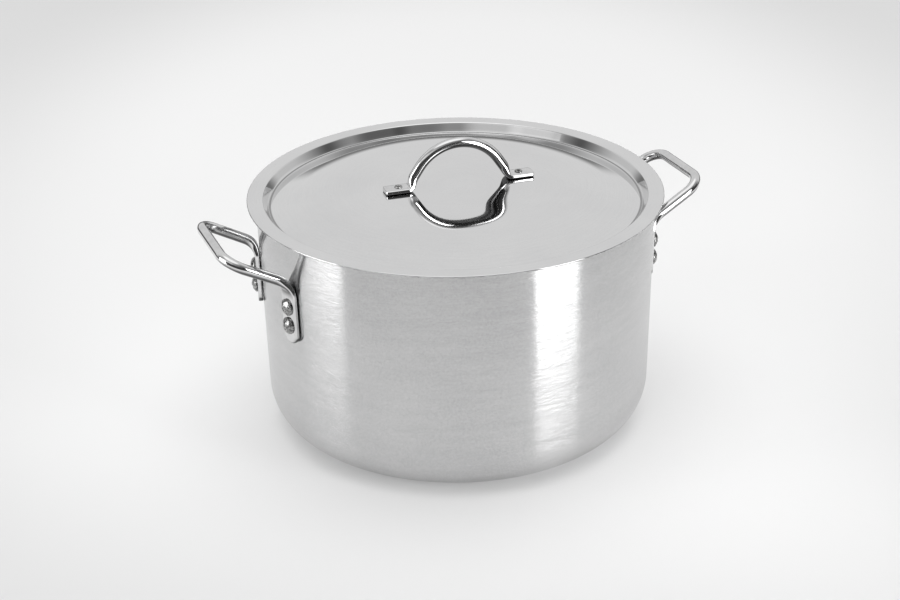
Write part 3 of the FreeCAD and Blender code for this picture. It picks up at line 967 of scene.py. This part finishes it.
def floor_material():
    material = bpy.data.materials.new("pale floor")
    material.use_nodes = True
    tree = material.node_tree
    shader = tree.nodes["Principled BSDF"]
    shader.inputs["Roughness"].default_value = 0.9
    shader.inputs["Specular IOR Level"].default_value = 0.0
    position = object_position(tree)
    # Painted pool of light: the floor's grey darkens away from the pool.
    seen = smooth(tree, pool_distance(tree, position), *POOL_FALL, FLOOR_FAR - FLOOR_NEAR)
    mirrored = smooth(tree, length_of(tree, position), *MIRRORED_FLOOR_FALL,
                      MIRRORED_FLOOR_FAR - MIRRORED_FLOOR_NEAR)
    glossy = add_node(tree, "ShaderNodeLightPath").outputs["Is Glossy Ray"]
    grey = mixed(tree, glossy, math_node(tree, "ADD", seen, FLOOR_NEAR),
                 math_node(tree, "ADD", mirrored, MIRRORED_FLOOR_NEAR))
    tree.links.new(grey_of(tree, grey), shader.inputs["Base Color"])
    return material


def make_floor():
    corners = [(x * FLOOR_HALF, y * FLOOR_HALF, 0) for x, y in ((-1, -1), (1, -1), (1, 1), (-1, 1))]
    mesh = bpy.data.meshes.new("studio_floor")
    mesh.from_pydata(corners, [], [(0, 1, 2, 3)])
    mesh.materials.append(floor_material())
    floor = bpy.data.objects.new("studio_floor", mesh)
    bpy.context.scene.collection.objects.link(floor)
    floor.location.z = -FLOOR_DROP


def make_world():
    world = bpy.data.worlds.new("studio")
    bpy.context.scene.world = world
    world.use_nodes = True
    tree = world.node_tree
    direction = add_node(tree, "ShaderNodeTexCoord").outputs["Generated"]
    height = parts_of(tree, direction)[2]
    flat = add_node(tree, "ShaderNodeVectorMath", operation="NORMALIZE")
    tree.links.new(flattened(tree, direction), flat.inputs[0])
    behind = dot_with(tree, flat.outputs[0], studio_direction(180, 0))
    back = smooth(tree, behind, *(cos_of(angle) for angle in BACK_EDGE), 1)
    front = smooth(tree, height, *(sin_of(angle) for angle in FRONT_RISE), FRONT_HIGH - FRONT_LOW)
    front = math_node(tree, "ADD", front, FRONT_LOW)
    for azimuth, elevation, inner, outer, added in PATCHES:
        near = dot_with(tree, direction, studio_direction(azimuth, elevation))
        front = math_node(tree, "ADD", front, smooth(tree, near, cos_of(outer), cos_of(inner), added))
    plain = smooth(tree, height, *(sin_of(angle) for angle in BACK_LOW_RISE), BACK_WALL - BACK_LOW)
    plain = math_node(tree, "ADD", plain, BACK_LOW)
    walls = mixed(tree, back, front, plain)
    above = smooth(tree, height, *(sin_of(angle) for angle in CEILING_RISE), 1)
    mirrored = math_node(tree, "MAXIMUM", mixed(tree, above, walls, CEILING), 0.0)
    camera_ray = add_node(tree, "ShaderNodeLightPath").outputs["Is Camera Ray"]
    background = tree.nodes["Background"]
    background.inputs["Color"].default_value = (1, 1, 1, 1)
    tree.links.new(mixed(tree, camera_ray, mirrored, PLAIN_BACKDROP), background.inputs["Strength"])


def softbox(name, azimuth, elevation, distance, size, power, aim_height=POT_HEIGHT / 2):
    light = bpy.data.lights.new(name, "AREA")
    light.shape = "RECTANGLE"
    light.size, light.size_y = size
    light.energy = power
    holder = bpy.data.objects.new(name, light)
    bpy.context.scene.collection.objects.link(holder)
    target = Vector((0, 0, aim_height))
    holder.location = target + studio_direction(azimuth, elevation) * distance
    holder.rotation_mode = "QUATERNION"
    holder.rotation_quaternion = (target - holder.location).to_track_quat("-Z", "Y")
    holder.visible_camera = False
    return holder


def make_lights():
    size = (OVERHEAD_SIZE, OVERHEAD_SIZE)
    overhead = softbox("overhead", 0, OVERHEAD_ELEVATION, OVERHEAD_DISTANCE, size, OVERHEAD_POWER)
    wash = softbox("overhead wash", 0, OVERHEAD_ELEVATION, OVERHEAD_DISTANCE, size, WASH_POWER)
    wash.data.use_shadow = False
    fill = softbox("front fill", 0, FILL_ELEVATION, FILL_DISTANCE, FILL_SIZE, FILL_POWER)
    for light in (overhead, wash, fill):
        light.visible_glossy = False
        light.data.spread = math.pi
    for name, (azimuth, distance, width, power, aim_height) in STRIPS.items():
        strip = softbox(name, azimuth, 0, distance, (width, STRIP_HEIGHT), power, aim_height)
        strip.data.spread = STRIP_SPREAD


def make_camera():
    data = bpy.data.cameras.new("camera")
    data.lens = CAMERA_LENS
    data.sensor_width = CAMERA_SENSOR
    data.clip_start = 0.05
    data.clip_end = 50
    camera = bpy.data.objects.new("camera", data)
    bpy.context.scene.collection.objects.link(camera)
    spin = Matrix.Rotation(CAMERA_AZIMUTH, 3, "Z")
    place = Vector((0, -math.cos(CAMERA_ELEVATION), math.sin(CAMERA_ELEVATION))) * CAMERA_DISTANCE
    ahead = Vector((math.sin(CAMERA_YAW) * math.cos(CAMERA_PITCH),
                    math.cos(CAMERA_YAW) * math.cos(CAMERA_PITCH), -math.sin(CAMERA_PITCH)))
    level = Vector((math.cos(CAMERA_YAW), -math.sin(CAMERA_YAW), 0))
    upright = level.cross(ahead)
    right = level * math.cos(CAMERA_ROLL) + upright * math.sin(CAMERA_ROLL)
    top = upright * math.cos(CAMERA_ROLL) - level * math.sin(CAMERA_ROLL)
    turn = Matrix((spin @ right, spin @ top, spin @ -ahead)).transposed()
    camera.matrix_world = Matrix.Translation(spin @ place + UP * POT_HEIGHT) @ turn.to_4x4()
    bpy.context.scene.camera = camera


make_pieces()
make_floor()
make_world()
make_lights()
make_camera()
bpy.context.scene.view_settings.view_transform = "Standard"
